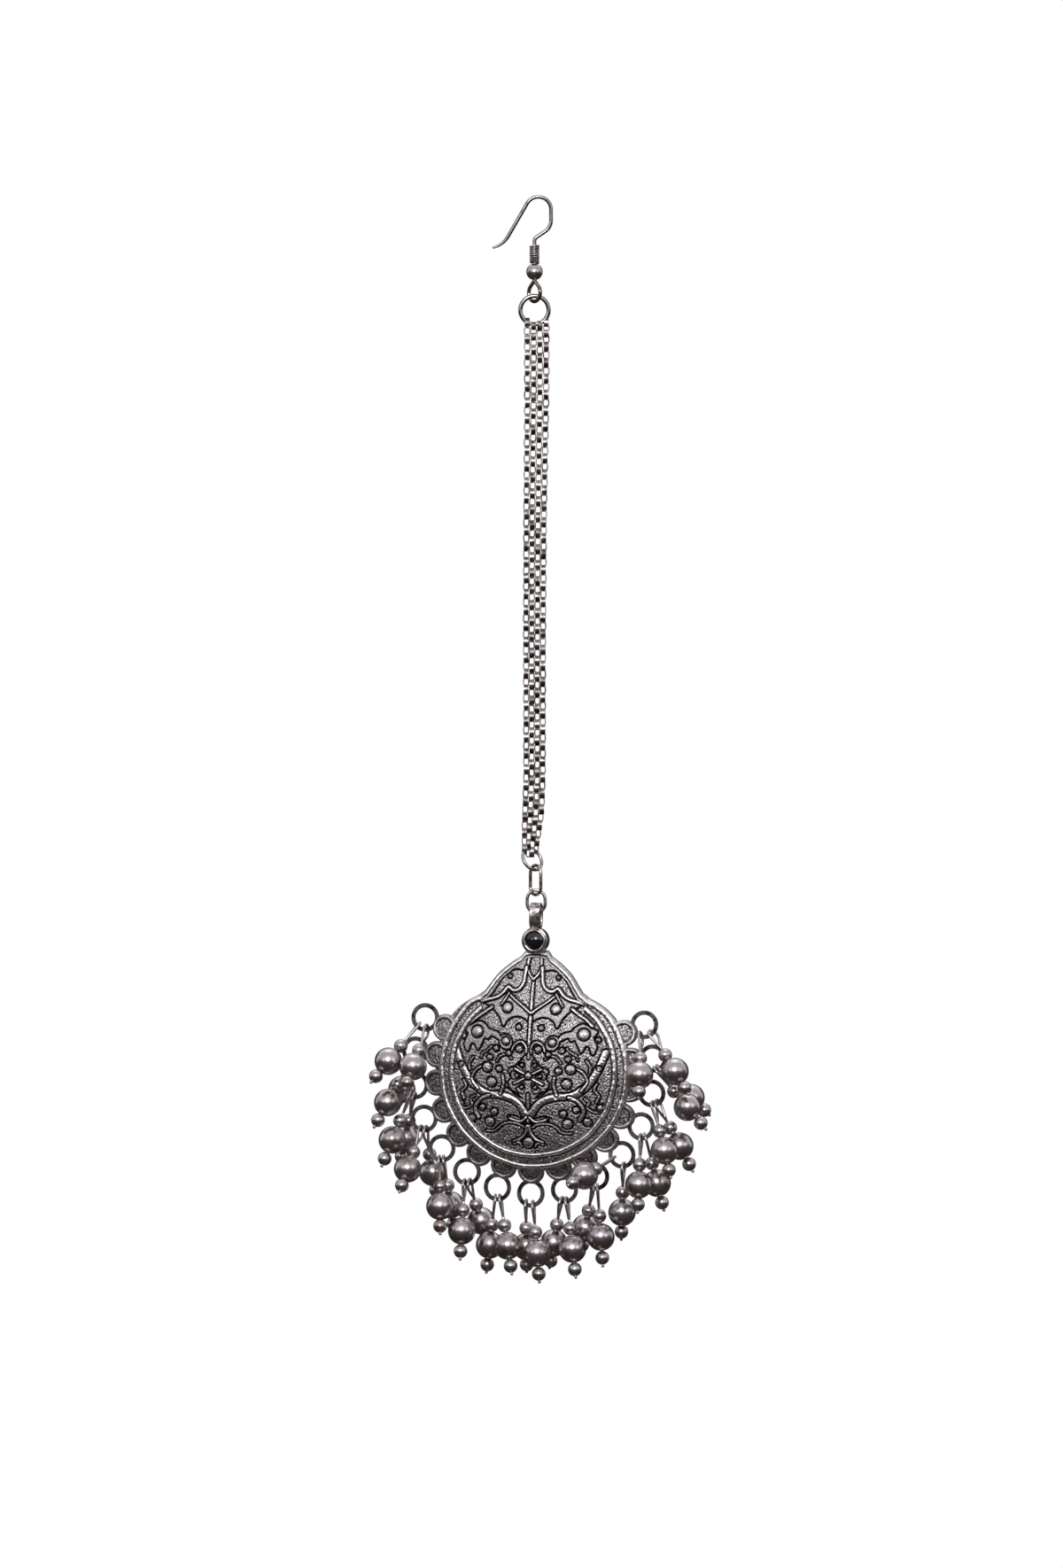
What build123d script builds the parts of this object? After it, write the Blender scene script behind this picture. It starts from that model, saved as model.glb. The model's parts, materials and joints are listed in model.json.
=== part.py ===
from build123d import *
import math
import os

# Maang tikka, a forehead ornament, in millimetres. +Z is up and its face looks along -Y. The origin
# is the underside of the hook's crown. Everything hangs plumb under it, as when it is held up there.

# --- hook ---
hook_wire = 0.7
tail_tip = 0.45
hook_x = -0.1
# each bend with the straight run after it, from the top of the shank to the tip of the tail:
# radius, turn to the left in degrees, run
hook_bends = [
    (0.8, -56, 1.9),
    (2.4, 56, 1.95),
    (2.3, 150, 6.9),
]
tail_curl = (4.4, -44)
coil_wire = 0.36
coil_pitch = 0.395
coil_turns = 8
coil_radius = 0.73
coil_bottom = -11.64
ball_d = 3.0
ball_bore = 0.95
ball_z = -13.2
hook_eye_neck = -14.78
hook_eye_width = 3.9
hook_eye_bottom = -18.9
hook_eye_yaw = -50

# how much thicker than its wire an eye's closed neck is
knuckle_swell = 1.04

# --- rings and links between the hook and the medallion ---
top_ring_d = 5.9
top_ring_wire = 0.8
top_ring_z = -20.1
link_wire = 0.6
gather_ring_d = 4.8
gather_ring_at = (-0.5, 0.6, -119.3)
gather_ring_yaw = 40
gather_ring_tip = -25
oval_link_width = 3.4
oval_link_height = 5.9
oval_link_at = (0.1, 0, -123.05)
oval_link_yaw = -48
small_ring_width = 3.85
small_ring_height = 4.6
small_ring_at = (0.2, 0, -126.9)
small_ring_yaw = -4

# --- woven chain: one band along its route, leaning back to meet the gather ring ---
chain_thickness = 1.5
chain_edge_radius = 0.4
thread_gap = 0.1
# x, y, z and width of the band's cross-sections, from the top ring down
chain_sections = [
    (0.30, 0.00, -21.8, 4.5),
    (0.30, 0.25, -36.0, 4.4),
    (0.00, 0.60, -58.0, 4.1),
    (-0.10, 0.85, -80.0, 4.0),
    (-0.10, 1.10, -104.0, 3.9),
    (-0.40, 1.25, -113.0, 3.8),
    (-0.70, 1.30, -119.4, 3.4),
]

# --- medallion: modelled about the hinge in its bail, then turned, tipped and hung there ---
hinge_at = (0.2, 0, -128.9)
medallion_yaw = -13
medallion_tip = 1.4
medallion_roll = 1.6
dome_radius = 50.0
dome_front = -4.5
plate_thickness = 1.1
disc_below_hinge = 28.6
disc_x = 0.2
disc_radius = 17.75
# the disc's edge and its two ridges are struck a little off the scallops' centre
ridge_centre = (0.4, -0.15)
# x and height over the disc's centre of the corners of the cap's right edge, from the bezel down,
# and how far the edge bows outward on the way to the next corner
cap_corners = [
    (1.95, 21.4, -0.2),
    (3.2, 20.2, 0.15),
    (6.0, 18.4, 0.2),
    (10.2, 13.05, 0.0),
]
ridge_radii = (17.1, 15.1)
ridge_wire = 0.9
ridge_gap_angle = 72
scallop_radius = 2.4
scallop_circle = 18.1
eyelet_count = 15
eyelet_step = 16.26
eyelet_circle = 22.2
eyelet_radius = 2.175
eyelet_wire = 0.65
eyelet_y = -0.25
bezel_below_hinge = 5.07
bezel_d = 4.85
bezel_front = -1.0
bezel_back = 1.5
stone_d = 3.6
stone_gap = 0.05
stone_seat = 0.0
stone_front = -1.75
stone_girdle = -0.9
bail_width = 1.9
bail_depth = 3.3
bail_top = 1.8
bail_bottom = -3.0
bail_hole_width = 2.0
bail_hole_top = 1.05
bail_hole_bottom = -1.8
bail_edge_radius = 0.3

# --- drops: two to an eyelet, each an eye pin through a small bead, a big one and a small one ---
big_bead_d = 5.0
big_bead_bore = 0.85
small_bead_d = 2.5
pin_wire = 0.5
pin_eye_radius = 1.15
pin_eye_top = 0.72
pin_neck = 3.4
upper_bead_at = 5.0
big_bead_at = 8.8
lower_bead_at = 12.55
pin_end_at = 14.0
pin_end_d = 0.6
# eyelet: counted from the upper left, under the disc, to the upper right
# slot: how far right of the eyelet's lowest point the pin's eye sits on its wire
# side, back: how far the big bead lies to the right and to the rear of that place
# turn: the eye's turn about the pin, in degrees
# climb: how far round the eyelet the eye is caught, in degrees
drops = [
    (1, -1.6, -5.2, -3.3, -10, 0),
    (1, 0.3, -2.4, -5.3, 0, 0),
    (2, -0.9, -4.1, -2.4, -10, 0),
    (2, -0.2, -2.3, 6.8, 15, 0),
    (3, -0.9, -3.2, -2.2, 0, 0),
    (3, -0.2, -1.6, 4.0, 5, 0),
    (4, -0.5, -2.4, -5.0, 15, 0),
    (4, 0.3, 1.3, 4.0, 10, 0),
    (5, -0.4, 0.1, -3.0, 0, 0),
    (5, 0.4, 1.2, 2.9, -5, 0),
    (6, -0.4, -0.5, -2.2, 5, 0),
    (6, 0.5, 2.1, 5.0, 10, 0),
    (7, 0.6, 1.3, -2.2, -5, 0),
    (7, -0.4, -1.0, 2.3, -15, 0),
    (8, 0.5, 0.7, -1.4, -5, 0),
    (8, -0.9, 0.1, 4.0, -15, 0),
    (9, 0.5, 1.0, -2.0, 0, 0),
    (9, -0.6, -1.3, 4.0, 0, 0),
    (10, 0.4, 0.6, -0.3, -10, 0),
    (10, -0.5, -1.3, 4.6, -25, 0),
    (11, 0.3, -0.2, 2.8, 5, 0),
    (11, -1.3, -4.9, -6.8, 10, -30),
    (12, 0.0, -0.4, -3.0, 0, 0),
    (12, 0.9, 2.1, 2.0, -10, 0),
    (13, 0.4, 1.9, -2.9, 10, 0),
    (13, 1.2, 4.0, 1.6, 15, 0),
    (14, 0.7, 5.6, -1.4, -5, 0),
    (14, 1.4, 5.7, 4.0, -10, 0),
    (15, -0.6, -0.3, -5.5, 20, 0),
    (15, 1.7, 4.0, -4.0, 20, 0),
]

medallion_place = (
    Pos(*hinge_at) * Rot(0, 0, medallion_yaw) * Rot(medallion_tip, 0, 0) * Rot(0, medallion_roll, 0)
)


def round_wire(path, diameter):
    """A round wire along a path."""
    section = Plane(origin=path @ 0, z_dir=path % 0) * Circle(diameter / 2)
    return sweep(section, path=path)


def standing_torus(radius, wire):
    """A round ring of wire in the XZ plane."""
    return Rot(90, 0, 0) * Torus(radius, wire / 2)


def wire_eye(radius, neck, wire):
    """A drop-shaped eye of wire in the XZ plane: round about the origin, meeting at a neck above."""
    touch_angle = math.degrees(math.acos(radius / neck))
    round_part = CenterArc((0, 0), radius, 90 - touch_angle, touch_angle - 180)
    straight_part = Line((0, neck), round_part @ 0)
    right_half = round_wire(Plane.XZ * Wire([straight_part, round_part]), wire)
    knuckle = Pos(0, 0, neck) * Sphere(wire / 2 * knuckle_swell)
    return right_half + mirror(right_half, about=Plane.YZ) + knuckle


def oval_link(width, height, wire):
    """A long link in the XZ plane: two half rounds joined by straight sides."""
    radius = (width - wire) / 2
    half_side = (height - width) / 2
    over = CenterArc((0, half_side), radius, 0, 180)
    under = CenterArc((0, -half_side), radius, 180, 180)
    down = Line(over @ 1, under @ 0)
    up = Line(under @ 1, over @ 0)
    return round_wire(Plane.XZ * Wire([over, down, under, up]), wire)


def make_hook_wire():
    """One wire: tail, crown and shank, with the eye under the ball closed back on the shank."""
    path = []
    at = Vector(hook_x, 0)
    heading = Vector(0, 1)
    for radius, turn, run in hook_bends:
        bend = JernArc(at, heading, radius, turn)
        straight = Line(bend @ 1, bend @ 1 + (bend % 1) * run)
        path += [bend, straight]
        at = straight @ 1
        heading = straight % 1
    curl = JernArc(at, heading, *tail_curl)
    bent = Wire(path)
    crown_lift = hook_wire / 2 - bent.bounding_box().max.Y
    upper = Plane.XZ * Pos(0, crown_lift) * bent
    tail = Plane.XZ * Pos(0, crown_lift) * curl
    tail_sections = [
        Plane(origin=tail @ 0, z_dir=tail % 0) * Circle(hook_wire / 2),
        Plane(origin=tail @ 1, z_dir=tail % 1) * Circle(tail_tip / 2),
    ]
    hook = round_wire(upper, hook_wire)
    hook += sweep(tail_sections, path=tail, multisection=True)
    hook += Pos(*(tail @ 1)) * Sphere(tail_tip / 2)
    hook += round_wire(Line((hook_x, 0, hook_eye_neck), upper @ 0), hook_wire)
    eye_radius = (hook_eye_width - hook_wire) / 2
    eye_z = hook_eye_bottom + hook_wire / 2 + eye_radius
    eye = wire_eye(eye_radius, hook_eye_neck - eye_z, hook_wire)
    return hook + Pos(hook_x, 0, eye_z) * Rot(0, 0, hook_eye_yaw) * eye


def make_hook_coil():
    helix = Helix(coil_pitch, coil_pitch * coil_turns, coil_radius)
    section = Plane(origin=helix @ 0, z_dir=helix % 0) * Circle(coil_wire / 2)
    return Pos(hook_x, 0, coil_bottom) * sweep(section, path=helix, is_frenet=True)


def make_hook_ball():
    return Pos(hook_x, 0, ball_z) * (Sphere(ball_d / 2) - Cylinder(ball_bore / 2, ball_d))


def top_torus(wire):
    return Pos(hook_x, 0, top_ring_z) * standing_torus((top_ring_d - top_ring_wire) / 2, wire)


def gather_torus(wire):
    place = Pos(*gather_ring_at) * Rot(0, 0, gather_ring_yaw) * Rot(gather_ring_tip, 0, 0)
    return place * standing_torus((gather_ring_d - link_wire) / 2, wire)


def make_mesh_chain():
    """The band, with a clear way through each end for the ring that threads it."""
    sections = []
    for x, y, z, width in chain_sections:
        outline = RectangleRounded(width, chain_thickness, chain_edge_radius)
        sections.append(Pos(x, y, z) * outline)
    band = loft(sections, ruled=True)
    top_way = top_torus(top_ring_wire + 2 * thread_gap)
    return band - top_way - gather_torus(link_wire + 2 * thread_gap)


def make_oval_link():
    link = oval_link(oval_link_width, oval_link_height, link_wire)
    return Pos(*oval_link_at) * Rot(0, 0, oval_link_yaw) * link


def make_small_ring():
    link = oval_link(small_ring_width, small_ring_height, link_wire)
    return Pos(*small_ring_at) * Rot(0, 0, small_ring_yaw) * link


def dome_y(radius):
    """Where the dome's front surface lies at a distance from the disc's centre."""
    return dome_front + dome_radius - math.sqrt(dome_radius**2 - radius**2)


def eyelet_angle(number):
    """Degrees from straight down, positive to the right."""
    return (number - (eyelet_count + 1) / 2) * eyelet_step


def around_disc(radius, angle):
    """x and height over the disc's centre of a place at a radius and an angle from straight down."""
    return radius * math.sin(math.radians(angle)), -radius * math.cos(math.radians(angle))


def cap_outline():
    """The cap's face over the disc, its two edges meeting across the disc."""
    edges = []
    for (x, z, bow), (next_x, next_z, _) in zip(cap_corners, cap_corners[1:]):
        edges.append(SagittaArc((x, z), (next_x, next_z), bow))
        edges.append(SagittaArc((-x, z), (-next_x, next_z), -bow))
    neck_x, neck_z, _ = cap_corners[0]
    cusp_x, cusp_z, _ = cap_corners[-1]
    edges.append(Line((neck_x, neck_z), (-neck_x, neck_z)))
    edges.append(Line((cusp_x, cusp_z), (-cusp_x, cusp_z)))
    return make_face(edges)


def make_plate():
    """The domed plate: cap, disc and scallops cut from one spherical shell, with two raised rings."""
    outline = Pos(*ridge_centre) * Circle(disc_radius) + cap_outline()
    for number in range(1, eyelet_count + 1):
        outline += Pos(*around_disc(scallop_circle, eyelet_angle(number))) * Circle(scallop_radius)
    prism = extrude(Plane.XZ * outline, amount=disc_radius / 2, both=True)
    shell = Sphere(dome_radius) - Sphere(dome_radius - plate_thickness)
    plate = prism & (Pos(0, dome_front + dome_radius, 0) * shell)
    for radius in ridge_radii:
        start_angle = 90 + ridge_gap_angle / 2
        arc = CenterArc(ridge_centre, radius, start_angle, 360 - ridge_gap_angle)
        plate += Pos(0, dome_y(radius), 0) * round_wire(Plane.XZ * arc, ridge_wire)
    return plate


def make_bezel():
    """The round setting, open in front for the stone."""
    cup = extrude(Plane.XZ * Circle(bezel_d / 2), amount=-(bezel_back - bezel_front))
    seat = extrude(Plane.XZ * Circle(stone_d / 2 + stone_gap), amount=-(stone_seat - bezel_front))
    return Pos(0, bezel_front, -bezel_below_hinge) * (cup - seat)


def make_bail():
    """A wide strap loop over the bezel, with its hole running through from side to side."""
    outer = Pos(0, (bail_top + bail_bottom) / 2) * SlotOverall(
        bail_top - bail_bottom, bail_depth, rotation=90
    )
    hole = Pos(0, (bail_hole_top + bail_hole_bottom) / 2) * SlotOverall(
        bail_hole_top - bail_hole_bottom, bail_hole_width, rotation=90
    )
    bail = extrude(Plane.YZ * (outer - hole), amount=bail_width / 2, both=True)
    return fillet(bail.faces().filter_by(Axis.X).edges(), bail_edge_radius)


def make_medallion():
    """Plate, eyelets, bezel and bail, soldered into one piece."""
    plate = make_plate()
    for number in range(1, eyelet_count + 1):
        x, z = around_disc(eyelet_circle, eyelet_angle(number))
        plate += Pos(x, eyelet_y, z) * standing_torus(eyelet_radius, eyelet_wire)
    medallion = Pos(disc_x, 0, -disc_below_hinge) * plate + make_bezel() + make_bail()
    return medallion_place * medallion


def make_stone():
    """A round cabochon with a straight girdle and a domed front."""
    rise = stone_girdle - stone_front
    dome = (rise**2 + (stone_d / 2) ** 2) / (2 * rise)
    body = extrude(Plane.XZ * Circle(stone_d / 2), amount=stone_seat - stone_gap - stone_front)
    stone = Pos(0, stone_seat - stone_gap, 0) * body & Pos(0, stone_front + dome, 0) * Sphere(dome)
    return medallion_place * Pos(0, 0, -bezel_below_hinge) * stone


def make_pin():
    """An eye pin hanging down from the origin, with its two small beads and its headed end."""
    eye = wire_eye(pin_eye_radius, pin_neck - pin_eye_radius + pin_eye_top, pin_wire)
    pin = Pos(0, 0, pin_eye_top - pin_eye_radius) * Rot(0, 180, 0) * eye
    pin += round_wire(Line((0, 0, -pin_neck), (0, 0, -pin_end_at)), pin_wire)
    for distance in (upper_bead_at, lower_bead_at):
        pin += Pos(0, 0, -distance) * Sphere(small_bead_d / 2)
    return pin + Pos(0, 0, -pin_end_at) * Sphere(pin_end_d / 2)


def make_big_bead():
    return Pos(0, 0, -big_bead_at) * (Sphere(big_bead_d / 2) - Cylinder(big_bead_bore / 2, big_bead_d))


def drop_plane(eyelet, slot, side, back, turn, climb):
    """Where a drop hangs on its eyelet's wire: z points back up the pin, x across the pin's eye."""
    medallion = Plane(medallion_place)
    x, z = around_disc(eyelet_circle, eyelet_angle(eyelet))
    eyelet_centre = medallion.from_local_coords(Vector(x + disc_x, eyelet_y, z - disc_below_hinge))
    around = slot / eyelet_radius + math.radians(climb)
    outward = medallion.x_dir * math.sin(around) - medallion.z_dir * math.cos(around)
    along = medallion.x_dir * math.cos(around) + medallion.z_dir * math.sin(around)
    down = Vector(side, back, -math.sqrt(big_bead_at**2 - side**2 - back**2)).normalized()
    across = down.cross(along).rotate(Axis((0, 0, 0), down), turn)
    return Plane(origin=eyelet_centre + outward * eyelet_radius, x_dir=across, z_dir=-down)


def save(shape, node):
    export_step(shape, f"parts/{node}.step")


os.makedirs("parts", exist_ok=True)
save(make_hook_wire(), "hook_wire")
save(make_hook_coil(), "hook_coil")
save(make_hook_ball(), "hook_ball")
save(top_torus(top_ring_wire), "top_ring")
save(make_mesh_chain(), "mesh_chain")
save(gather_torus(link_wire), "gather_ring")
save(make_oval_link(), "oval_link")
save(make_small_ring(), "small_ring")
save(make_medallion(), "medallion")
save(make_stone(), "stone")

pin = make_pin()
big_bead = make_big_bead()
pins_on_eyelet = {}
for index, drop in enumerate(drops, start=1):
    place = drop_plane(*drop)
    save(place * big_bead, f"big_bead_{index:02d}")
    pins_on_eyelet.setdefault(drop[0], []).append(place * pin)
for eyelet, pins in pins_on_eyelet.items():
    save(Compound(children=pins), f"drop_pins_{eyelet:02d}")
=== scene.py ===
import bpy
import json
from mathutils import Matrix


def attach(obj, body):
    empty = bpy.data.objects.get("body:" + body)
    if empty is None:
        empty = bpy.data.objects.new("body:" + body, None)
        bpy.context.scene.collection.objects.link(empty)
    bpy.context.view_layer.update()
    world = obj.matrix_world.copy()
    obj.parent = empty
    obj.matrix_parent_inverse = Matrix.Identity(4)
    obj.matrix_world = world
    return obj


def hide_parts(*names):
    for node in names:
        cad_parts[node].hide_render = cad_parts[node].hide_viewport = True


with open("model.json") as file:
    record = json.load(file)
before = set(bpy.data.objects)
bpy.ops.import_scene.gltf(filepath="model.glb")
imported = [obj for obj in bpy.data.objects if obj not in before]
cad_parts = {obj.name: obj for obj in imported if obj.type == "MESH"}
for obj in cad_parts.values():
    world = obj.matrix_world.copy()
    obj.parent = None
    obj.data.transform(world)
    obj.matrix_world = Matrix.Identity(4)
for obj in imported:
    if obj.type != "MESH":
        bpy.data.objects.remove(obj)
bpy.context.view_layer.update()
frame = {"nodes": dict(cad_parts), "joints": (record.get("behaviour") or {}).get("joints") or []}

import json
import math
import bmesh
import bpy
import numpy as np
from mathutils import Matrix, Vector

mm = 0.001
nodes = frame["nodes"]
mergeDist = 1e-4  # corners nearer than this are one
rng = np.random.default_rng(7)

# Every metal here is one recipe: a bright tone and a tarnish tone mixed by soft patches and fine
# specks, with the roughness and the bump following the same specks. Lengths are in millimetres.
finishes = {
    "polishedSteel": dict(bright=(0.36, 0.33, 0.315), tarnish=(0.18, 0.13, 0.11), patch=3.0,
                          patchShare=0.30, speck=0.12, speckle=0.15, rough=(0.12, 0.18), bump=0.0005),
    "chainSilver": dict(bright=(0.24, 0.222, 0.216), tarnish=(0.078, 0.057, 0.049), patch=1.3,
                        patchShare=0.45, speck=0.10, speckle=0.6, rough=(0.22, 0.34), bump=0.002),
    "beadSilver": dict(bright=(0.53, 0.488, 0.495), tarnish=(0.31, 0.24, 0.215), patch=2.6,
                       patchShare=0.22, speck=0.09, speckle=0.25, rough=(0.24, 0.30), bump=0.0006),
    "settingSilver": dict(bright=(0.74, 0.71, 0.70), tarnish=(0.24, 0.17, 0.15), patch=0.9,
                          patchShare=0.40, speck=0.10, speckle=0.5, rough=(0.16, 0.28), bump=0.003),
    "ringSilver": dict(bright=(0.58, 0.53, 0.52), tarnish=(0.16, 0.115, 0.10), patch=1.6,
                       patchShare=0.45, speck=0.10, speckle=0.6, rough=(0.18, 0.32), bump=0.003),
}


def link(tree, source, target):
    tree.links.new(source, target)


def noiseOf(tree, where, size, detail, roughness=0.55):
    noise = tree.nodes.new("ShaderNodeTexNoise")
    noise.inputs["Scale"].default_value = 1 / (size * mm)
    noise.inputs["Detail"].default_value = detail
    noise.inputs["Roughness"].default_value = roughness
    link(tree, where, noise.inputs["Vector"])
    return noise.outputs["Fac"]


def rangeOf(tree, value, low, high, outLow=0.0, outHigh=1.0):
    mapped = tree.nodes.new("ShaderNodeMapRange")
    mapped.interpolation_type = "SMOOTHSTEP"
    mapped.inputs["From Min"].default_value = low
    mapped.inputs["From Max"].default_value = high
    mapped.inputs["To Min"].default_value = outLow
    mapped.inputs["To Max"].default_value = outHigh
    link(tree, value, mapped.inputs["Value"])
    return mapped.outputs["Result"]


def mixOf(tree, factor, first, second):
    mix = tree.nodes.new("ShaderNodeMix")
    mix.data_type = "RGBA"
    link(tree, factor, mix.inputs["Factor"])
    for socket, colour in ((mix.inputs["A"], first), (mix.inputs["B"], second)):
        if isinstance(colour, tuple):
            socket.default_value = (*colour, 1)
        else:
            link(tree, colour, socket)
    return mix.outputs["Result"]


def bumpOf(tree, height, depth, below=None):
    bump = tree.nodes.new("ShaderNodeBump")
    bump.inputs["Strength"].default_value = 1.0
    bump.inputs["Distance"].default_value = depth * mm
    link(tree, height, bump.inputs["Height"])
    if below:
        link(tree, below, bump.inputs["Normal"])
    return bump.outputs["Normal"]


def makeSilver(name, look):
    mat = bpy.data.materials.new(name)
    mat.use_nodes = True
    tree = mat.node_tree
    shader = tree.nodes["Principled BSDF"]
    shader.inputs["Metallic"].default_value = 1.0
    where = tree.nodes.new("ShaderNodeTexCoord").outputs["Object"]
    # the larger the share, the lower the noise at which the tarnish sets in
    share = look["patchShare"]
    patches = rangeOf(tree, noiseOf(tree, where, look["patch"], 3), 0.62 - 0.4 * share, 0.78 - 0.3 * share)
    specks = noiseOf(tree, where, look["speck"], 4, 0.7)
    tone = mixOf(tree, patches, look["bright"], look["tarnish"])
    dulled = tuple(0.72 * c for c in look["tarnish"])
    colour = mixOf(tree, rangeOf(tree, specks, 0.56, 0.80, 0, look["speckle"]), tone, dulled)
    link(tree, colour, shader.inputs["Base Color"])
    low, high = look["rough"]
    link(tree, rangeOf(tree, specks, 0.3, 0.75, low, high), shader.inputs["Roughness"])
    link(tree, bumpOf(tree, specks, look["bump"]), shader.inputs["Normal"])
    return mat


silver = {name: makeSilver(name, look) for name, look in finishes.items()}

relief = dict(bright=(0.95, 0.915, 0.90), leaf=(0.54, 0.51, 0.525), ground=(0.62, 0.57, 0.585),
              oxideAndShade=(0.003, 0.002, 0.002), brown=(0.40, 0.27, 0.22), speck=0.16, patch=2.6,
              pit=0.22, rough=(0.13, 0.30), bump=0.032, pitBump=0.036)


def attributeOf(tree, name):
    attribute = tree.nodes.new("ShaderNodeAttribute")
    attribute.attribute_name = name
    return attribute.outputs["Fac"]


def makeReliefFinish(look):
    # worn bright on what stands up, pitted dark and bright on the ground, black in the creases: dark oxide
    # there, deepened by painted crease shade
    mat = bpy.data.materials.new("reliefSilver")
    mat.use_nodes = True
    tree = mat.node_tree
    shader = tree.nodes["Principled BSDF"]
    shader.inputs["Metallic"].default_value = 1.0
    where = tree.nodes.new("ShaderNodeTexCoord").outputs["Object"]
    specks = noiseOf(tree, where, look["speck"], 4, 0.7)
    patches = noiseOf(tree, where, look["patch"], 3)
    base = mixOf(tree, rangeOf(tree, specks, 0.44, 0.70), look["ground"], look["leaf"])
    base = mixOf(tree, rangeOf(tree, patches, 0.50, 0.70, 0, 0.45), base, look["brown"])
    pits = noiseOf(tree, where, look["pit"], 3, 0.65)
    base = mixOf(tree, rangeOf(tree, pits, 0.47, 0.57, 0, 0.95), base, look["oxideAndShade"])
    base = mixOf(tree, rangeOf(tree, pits, 0.46, 0.36, 0, 0.8), base, look["bright"])
    leaf = mixOf(tree, rangeOf(tree, pits, 0.50, 0.64, 0, 0.85), look["leaf"], look["oxideAndShade"])
    colour = mixOf(tree, attributeOf(tree, "ground"), leaf, base)
    worn = attributeOf(tree, "worn")
    colour = mixOf(tree, worn, colour, look["bright"])
    # painted shade: creases and hollows darkened in the colour, over the dark oxide they really hold
    colour = mixOf(tree, attributeOf(tree, "oxideAndShade"), colour, look["oxideAndShade"])
    link(tree, colour, shader.inputs["Base Color"])
    low, high = look["rough"]
    link(tree, rangeOf(tree, specks, 0.3, 0.75, low, high), shader.inputs["Roughness"])
    sunk = mixOf(tree, worn, rangeOf(tree, pits, 0.3, 0.7, 1, 0), (0.5, 0.5, 0.5))
    pitted = bumpOf(tree, sunk, look["pitBump"])
    link(tree, bumpOf(tree, specks, look["bump"], pitted), shader.inputs["Normal"])
    return mat


silver["reliefSilver"] = makeReliefFinish(relief)

stoneLook = dict(colour=(0.002, 0.002, 0.003), cloud=(0.006, 0.005, 0.007), cloudSize=1.4,
                 rough=(0.04, 0.08), roughSize=0.3, ior=1.66)


def makeStoneFinish(look):
    mat = bpy.data.materials.new("blackStone")
    mat.use_nodes = True
    tree = mat.node_tree
    shader = tree.nodes["Principled BSDF"]
    where = tree.nodes.new("ShaderNodeTexCoord").outputs["Object"]
    clouds = rangeOf(tree, noiseOf(tree, where, look["cloudSize"], 4), 0.4, 0.75)
    link(tree, mixOf(tree, clouds, look["colour"], look["cloud"]), shader.inputs["Base Color"])
    low, high = look["rough"]
    smears = noiseOf(tree, where, look["roughSize"], 3)
    link(tree, rangeOf(tree, smears, 0.4, 0.7, low, high), shader.inputs["Roughness"])
    shader.inputs["IOR"].default_value = look["ior"]
    return mat


silver["blackStone"] = makeStoneFinish(stoneLook)
print("finishes made")

# CAD parts that stay: welded for smooth shading, split again at true edges
carried = dict(weld=0.002, edgeAngle=34)


def finishNode(name, finish):
    part = nodes[name]
    part.data.materials.clear()
    part.data.materials.append(silver[finish])
    part.data.shade_smooth()
    weld = part.modifiers.new("weld", "WELD")
    weld.merge_threshold = carried["weld"] * mm
    split = part.modifiers.new("edges", "EDGE_SPLIT")
    split.split_angle = math.radians(carried["edgeAngle"])


partFinish = {
    "hook_wire": "polishedSteel",
    "hook_coil": "ringSilver",
    "hook_ball": "beadSilver",
    "top_ring": "polishedSteel",
    "gather_ring": "ringSilver",
    "oval_link": "ringSilver",
    "small_ring": "ringSilver",
    "stone": "blackStone",
}
for name in nodes:
    if name.startswith(("big_bead", "drop_pins")):
        finishNode(name, "beadSilver")
    elif name in partFinish:
        finishNode(name, partFinish[name])
print("carried-over parts finished")


def newPiece(bm, name, body, finish, replaced, smooth):
    mesh = bpy.data.meshes.new(name)
    bm.to_mesh(mesh)
    bm.free()
    piece = bpy.data.objects.new(name, mesh)
    bpy.context.collection.objects.link(piece)
    mesh.materials.append(finish)
    mesh.shade_smooth()
    mesh.set_sharp_from_angle(angle=math.radians(smooth))
    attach(piece, body)
    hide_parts(*replaced)
    return piece


# woven chain: four strands of flat-band links, neighbours a row out of step
chain = dict(
    bandThick=0.21, linkLong=1.90, linkWide=1.24, bandDeep=0.86, linkCorner=0.42,
    pitch=1.44, shortPitch=0.96, shortLinks=3, outerRise=0.55,
    columns=4, columnPitch=1.14, fullWidth=4.45, rows=67,
    # how far a link turns about its length and tips, in degrees, and stands out of line
    turnBy=5, tipBy=3, shiftBy=0.05,
    # x, y, z and width down the strap
    route=[(0.30, 0.0, -21.8, 4.5), (0.30, 0.25, -36, 4.4), (0.0, 0.6, -58, 4.1),
           (-0.1, 0.85, -80, 4.0), (-0.1, 1.1, -104, 3.9), (-0.4, 1.25, -113, 3.8),
           (-0.7, 1.3, -119.4, 3.4)],
    ringWireZ=-22.25,
    # the strands draw together here, each to its own place on the gather ring
    gatherFrom=-110, gatherOver=8, gatherPower=1.5,
    gatherAt=[(-1.9, 0.2), (-1.3, 1.1), (-0.6, 1.6), (0.1, 2.0)],
)


def strapAt(z):
    heights = [-p[2] for p in chain["route"]]
    return [float(np.interp(-z, heights, [p[k] for p in chain["route"]])) for k in (0, 1, 3)]


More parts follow.
